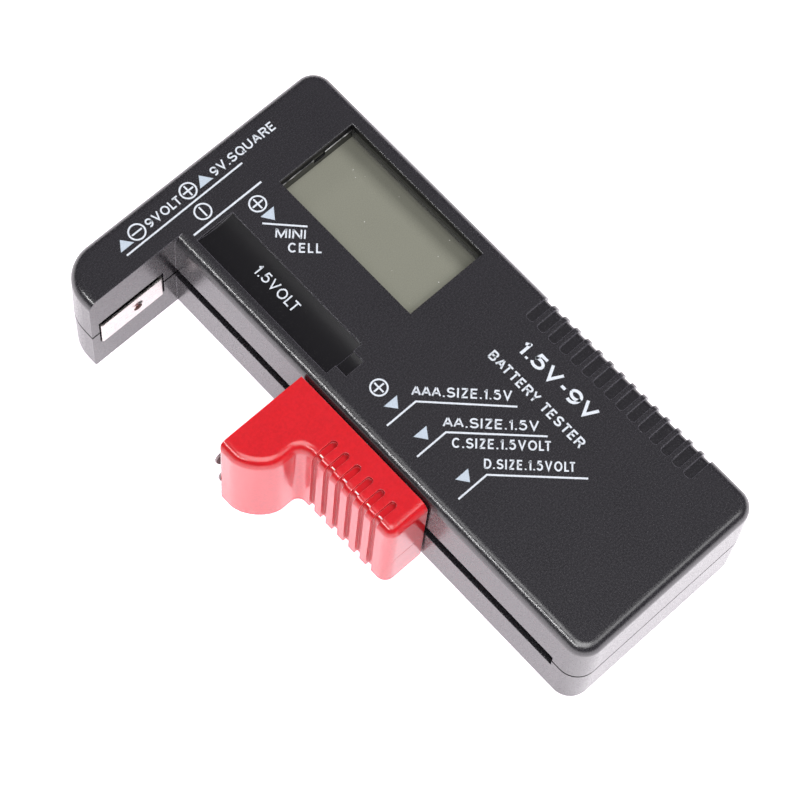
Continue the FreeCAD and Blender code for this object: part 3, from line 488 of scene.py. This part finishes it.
def poly_line(shape, points, width=LINE):
    """A closed strip of one width along points, mitred at its corners."""
    points = [Vector(p) for p in points]
    rows = []
    for i, point in enumerate(points):
        before = (point - points[i - 1]).normalized() if i else None
        after = (points[i + 1] - point).normalized() if i + 1 < len(points) else None
        along = ((before or after) + (after or before)).normalized()
        across = Vector((-along.y, along.x))
        run = after or before
        reach = width / 2 / max(MITRE_LIMIT, across.dot(Vector((-run.y, run.x))))
        left, right = point + across * reach, point - across * reach
        rows.append([shape.verts.new((*place, z)) for place, z in
                     ((left, 1), (right, 1), (right, -1), (left, -1))])
    shape.faces.new(rows[0][::-1])
    shape.faces.new(rows[-1])
    for a, b in zip(rows, rows[1:]):
        for k in range(4):
            n = (k + 1) % 4
            shape.faces.new((a[k], a[n], b[n], b[k]))


def ring(shape, centre, radius=RING, width=RING_LINE):
    """Adds a closed flat ring."""
    loops = []
    for r, z in ((radius, 1), (radius - width, 1), (radius - width, -1), (radius, -1)):
        loops.append([shape.verts.new((*(Vector(centre) + direction(360 * k / RING_STEPS) * r), z))
                      for k in range(RING_STEPS)])
    for k in range(RING_STEPS):
        n = (k + 1) % RING_STEPS
        for a, b in zip(loops, loops[1:] + loops[:1]):
            shape.faces.new((a[k], a[n], b[n], b[k]))


def minus_symbol(shape, centre, angle=0.0):
    ring(shape, centre)
    reach = direction(angle) * (RING - MINUS_INSET)
    middle = Vector(centre)
    poly_line(shape, [tuple(middle - reach), tuple(middle + reach)], RING_LINE)


def plus_symbol(shape, centre):
    ring(shape, centre)
    r, w = RING - PLUS_INSET, RING_LINE / 2
    x, y = centre
    prism(shape, [(x + dx, y + dy) for dx, dy in (
        (r, -w), (r, w), (w, w), (w, r), (-w, r), (-w, w),
        (-r, w), (-r, -w), (-w, -w), (-w, -r), (w, -r), (w, -w))])


def bow(centre_x, centre_y, half_x, half_y, start, stop):
    """Points of an elliptic arc between two angles in degrees."""
    steps = max(4, round(abs(stop - start) / ARC_STEP_DEG))
    angles = [math.radians(start + (stop - start) * k / steps) for k in range(steps + 1)]
    return [(centre_x + half_x * math.cos(a), centre_y + half_y * math.sin(a)) for a in angles]


LOOP = [bow(0.5, 0.5, 0.5, 0.5, 0, 180), bow(0.5, 0.5, 0.5, 0.5, 180, 360)]
# Width of each sign and the middle lines of its strokes. The widths only compare the signs, because they are
# stretched to the length of a word, and the lines lie in a box from (0, 0) to (1, 1).
SIGNS = {
    "A": (0.76, [[(0, 0), (0.46, 1)], [(1, 0), (0.54, 1)], [(0.2, 0.33), (0.8, 0.33)]]),
    "B": (0.68, [[(0, 0), (0, 1), (0.6, 1), *bow(0.6, 0.765, 0.33, 0.235, 75, -90), (0.05, 0.53)],
                 [(0.6, 0.53), *bow(0.62, 0.265, 0.38, 0.265, 75, -90), (0, 0)]]),
    "C": (0.76, [bow(0.5, 0.5, 0.5, 0.5, 42, 318)]),
    "D": (0.72, [[(0, 0), (0, 1), (0.4, 1), *bow(0.4, 0.5, 0.6, 0.5, 80, -90), (0, 0)]]),
    "E": (0.60, [[(1, 1), (0, 1), (0, 0), (1, 0)], [(0, 0.52), (0.9, 0.52)]]),
    "I": (0.16, [[(0.5, -0.09), (0.5, 1.09)]]),
    "L": (0.54, [[(0, 1.09), (0, 0), (1, 0)]]),
    "M": (0.84, [[(0, -0.09), (0, 1.09)], [(0.04, 1.04), (0.5, 0.02), (0.96, 1.04)],
                 [(1, -0.09), (1, 1.09)]]),
    "N": (0.72, [[(0, -0.09), (0, 1.09)], [(0.03, 1.03), (0.97, -0.03)], [(1, -0.09), (1, 1.09)]]),
    "O": (0.80, LOOP),
    "Q": (0.80, LOOP + [[(0.6, 0.26), (1.02, -0.06)]]),
    "R": (0.70, [[(0, -0.09), (0, 1), (0.6, 1), *bow(0.6, 0.75, 0.38, 0.25, 75, -90), (0.05, 0.5)],
                 [(0.6, 0.5), (1, -0.09)]]),
    "S": (0.68, [[*bow(0.5, 0.75, 0.46, 0.25, 20, 270), *bow(0.5, 0.25, 0.5, 0.25, 75, -160)]]),
    "T": (0.64, [[(-0.05, 1), (1.05, 1)], [(0.5, 0.95), (0.5, -0.09)]]),
    "U": (0.70, [[(0, 1.09), (0, 0.38), *bow(0.5, 0.38, 0.5, 0.38, 195, 345), (1, 0.38), (1, 1.09)]]),
    "V": (0.74, [[(0, 1.09), (0.5, 0.02), (1, 1.09)]]),
    "Y": (0.70, [[(0, 1.09), (0.5, 0.46), (1, 1.09)], [(0.5, 0.5), (0.5, -0.09)]]),
    "Z": (0.64, [[(0, 1), (1, 1)], [(0.94, 0.97), (0.06, 0.03)], [(0, 0), (1, 0)]]),
    "1": (0.34, [[(0.85, -0.09), (0.85, 1.09)], [(0.85, 0.98), (0, 0.74)]]),
    "5": (0.62, [[(0.9, 1), (0.2, 1), (0.07, 0.5)], bow(0.46, 0.33, 0.54, 0.33, 145, -155)]),
    "9": (0.62, [bow(0.5, 0.69, 0.5, 0.31, 0, 180), bow(0.5, 0.69, 0.5, 0.31, 180, 360),
                 bow(0.40, 0.55, 0.60, 0.55, 15, -115)]),
    ".": (0.16, [[(0.5, -0.09), (0.5, 0.1)]]),
    "-": (0.36, [[(0, 0.4), (1, 0.4)]]),
}
SPACE = 0.22               # width of a space, in the measure of SIGNS
SIGN_GAP = 0.15            # share of the letter height
TUCKED = {"LT": 0.22, "AT": 0.16, "RY": 0.06, "AA": 0.12}      # how much closer some pairs stand


def lettering(shape, words, start, angle, length, height, weight=WEIGHT):
    """Signs drawn with strokes of one width, fitted to a length and height in mm from `start`."""
    stroke = weight * height
    pairs = [words[k:k + 2] for k in range(len(words) - 1)]
    gaps = [(SIGN_GAP - TUCKED.get(pair, 0.0)) * height for pair in pairs] + [0.0]
    drawn = sum(SPACE if sign == " " else SIGNS[sign][0] for sign in words)
    stretch = (length - sum(gaps)) / drawn
    along = direction(angle)
    upward = Vector((-along.y, along.x))
    cursor = 0.0
    for sign, gap in zip(words, gaps):
        width, strokes = SIGNS.get(sign, (SPACE, []))
        width *= stretch
        for line in strokes:
            places = []
            for u, v in line:
                x = cursor + stroke / 2 + u * (width - stroke)
                y = stroke / 2 + v * (height - stroke)
                places.append(Vector(start) + along * x + upward * y)
            poly_line(shape, places, stroke)
        cursor += width + gap


def sliced(shape, low, high, step):
    """Cuts the prism at every `step` mm of x, so that it can bend over a curved surface."""
    x = low + step
    while x < high:
        geometry = shape.verts[:] + shape.edges[:] + shape.faces[:]
        bmesh.ops.bisect_plane(shape, geom=geometry, plane_co=(x, 0, 0), plane_no=(1, 0, 0))
        x += step


def finish_print(name, shape, material):
    """Lays a print on the shell and makes it a piece that rides with the housing."""
    bmesh.ops.recalc_face_normals(shape, faces=shape.faces)
    lay_on_shell(shape)
    for vert in shape.verts:
        vert.co *= MM
    mesh = bpy.data.meshes.new(name)
    shape.to_mesh(mesh)
    shape.free()
    mesh.materials.append(material)
    piece = bpy.data.objects.new(name, mesh)
    bpy.context.scene.collection.objects.link(piece)
    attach(piece, "housing")


def add_prints():
    white = surface("ink_white", (0.60, 0.63, 0.69), 0.5, grain_per_mm=4.0, grain_mm=0.004,
                    mottling=0.06, edge_gain=0.9)
    pale = surface("ink_pale_blue", (0.44, 0.50, 0.58), 0.5, grain_per_mm=4.0, grain_mm=0.003,
                   mottling=0.05, edge_gain=0.95)

    lines = bmesh.new()
    minus_symbol(lines, (-14.69, 50.73))
    plus_symbol(lines, (-3.08, 50.85))
    poly_line(lines, [(-18.85, 48.52), (7.38, 48.72)])
    lettering(lines, "9VOLT", (-12.62, 49.77), 0, 7.54, 1.78)
    lettering(lines, "9V.SQUARE", (2.08, 49.8), 0, 14.3, 1.8)
    finish_print("print_nine_volt", lines, white)

    arrows = bmesh.new()
    triangle(arrows, -19.23, -16.27, 49.58, (-17.85, 51.54))
    triangle(arrows, -1.27, 1.73, 49.77, (0.19, 51.88))
    finish_print("print_nine_volt_arrows", arrows, pale)

    lines = bmesh.new()
    minus_symbol(lines, (-3.77, 46.23), 90)
    poly_line(lines, [(-7.92, 43.88), (7.42, 43.88)], 0.38)
    finish_print("print_cell_minus", lines, white)

    lines = bmesh.new()
    plus_symbol(lines, (4.19, 41.15))
    poly_line(lines, [(2.31, 37.88), (7.69, 32.35)])
    lettering(lines, "MINI", (2.19, 34.46), -45, 5.2, 1.75)
    lettering(lines, "CELL", (1.92, 30.96), -43, 5.9, 1.85)
    finish_print("print_mini_cell", lines, white)

    arrows = bmesh.new()
    triangle(arrows, 2.88, 5.92, 39.0, (4.35, 36.88))
    finish_print("print_mini_cell_arrow", arrows, pale)

    words = bmesh.new()
    lettering(words, "1.5VOLT", (-4.62, 32.6), -90, 10.3, 2.0, THIN_WEIGHT)
    sliced(words, -4.7, -2.5, BEND_STEP)
    finish_print("print_cell_voltage", words, white)

    lines = bmesh.new()
    plus_symbol(lines, (-3.25, 2.49))
    poly_line(lines, [(-6.9, -3.43), (-0.35, -3.43), (11.7, -15.4)])
    poly_line(lines, [(-6.9, -10.79), (-0.35, -10.79), (11.8, -22.6)])
    poly_line(lines, [(-6.9, -20.79), (-0.45, -20.79), (11.65, -32.46)])
    lettering(lines, "AAA.SIZE.1.5V", (-0.21, -2.13), -44.8, 16.9, 1.83)
    lettering(lines, "AA.SIZE.1.5V", (-0.14, -9.72), -44.3, 16.1, 1.83)
    lettering(lines, "C.SIZE.1.5VOLT", (-1.52, -13.46), -43.8, 16.6, 1.83)
    lettering(lines, "D.SIZE.1.5VOLT", (-0.08, -19.68), -44.0, 15.25, 1.8)
    finish_print("print_cell_sizes", lines, white)

    arrows = bmesh.new()
    triangle(arrows, -4.99, -1.92, -0.52, (-3.42, -2.46))
    triangle(arrows, -4.95, -1.98, -7.78, (-3.42, -9.82))
    triangle(arrows, -4.95, -1.98, -17.91, (-3.42, -19.92))
    finish_print("print_size_arrows", arrows, pale)

    words = bmesh.new()
    lettering(words, "BATTERY TESTER", (14.14, -5.37), -90, 22.3, 1.87, NAME_WEIGHT)
    lettering(words, "1.5V-9V", (18.65, -7.78), -90, 17.56, 2.81, BOLD_WEIGHT)
    finish_print("print_name", words, white)


# ---------------------------------------------------------------- light and floor

FLOOR_HALF = 12.0          # m
FLOOR_COLOUR = (0.9, 0.9, 0.9, 1)
FLOOR_GLOW = (1.0, 0.9, 1.0, 1)
FLOOR_GLOW_STRENGTH = 0.95
SKY = [(0.0, 0.95), (0.13, 0.9), (0.2, 0.04), (0.55, 0.04), (0.75, 0.12), (1.0, 0.12)]   # level over height


def add_floor():
    mesh = bpy.data.meshes.new("floor")
    h = FLOOR_HALF
    mesh.from_pydata([(-h, -h, 0), (h, -h, 0), (h, h, 0), (-h, h, 0)], [], [(0, 1, 2, 3)])
    floor = bpy.data.objects.new("floor", mesh)
    bpy.context.scene.collection.objects.link(floor)
    material, _, shader = new_material("floor_white")
    shader.inputs["Base Color"].default_value = FLOOR_COLOUR
    shader.inputs["Roughness"].default_value = 0.9
    shader.inputs["Specular IOR Level"].default_value = 0.0
    shader.inputs["Emission Color"].default_value = FLOOR_GLOW
    shader.inputs["Emission Strength"].default_value = FLOOR_GLOW_STRENGTH
    mesh.materials.append(material)


def add_world():
    world = bpy.data.worlds.new("studio")
    world.use_nodes = True
    tree = world.node_tree
    background = tree.nodes["Background"]
    coords = add_node(tree, "ShaderNodeTexCoord")
    split = add_node(tree, "ShaderNodeSeparateXYZ")
    tree.links.new(coords.outputs["Generated"], split.inputs[0])
    tree.links.new(ramp(tree, split.outputs["Z"], SKY), background.inputs["Color"])
    background.inputs["Strength"].default_value = 1.0
    bpy.context.scene.world = world


def add_softbox(name, towards, distance, size, radiance, diffuse=True, glossy=True):
    """A rectangular light that faces the object; `radiance` is what a mirror would show of it."""
    data = bpy.data.lights.new(name, "AREA")
    data.shape = "RECTANGLE"
    data.size, data.size_y = size
    data.energy = radiance * math.pi * size[0] * size[1]
    light = bpy.data.objects.new(name, data)
    light.location = Vector(towards).normalized() * distance
    light.rotation_euler = (-light.location).to_track_quat("-Z", "Y").to_euler()
    light.visible_diffuse = diffuse
    light.visible_glossy = glossy
    bpy.context.scene.collection.objects.link(light)


def add_light():
    add_world()
    add_softbox("softbox_key", (-0.22, -0.22, 0.95), 2.0, (1.4, 1.4), 4.3)
    add_softbox("softbox_right", (0.62, -0.10, 0.78), 2.0, (1.3, 0.7), 9.5, glossy=False)
    add_softbox("softbox_front", (0.29, -0.50, 0.81), 1.6, (0.6, 0.5), 2.5)
    add_softbox("strip_left", (-0.65, 0.10, 0.72), 1.2, (0.9, 0.08), 25.0, diffuse=False)
    add_softbox("backlight", (0.15, 0.80, 0.58), 1.4, (0.8, 0.3), 3.0, glossy=False)


add_camera()
add_floor()
add_light()
paint_all()
add_prints()
bpy.context.scene.view_settings.view_transform = "Standard"
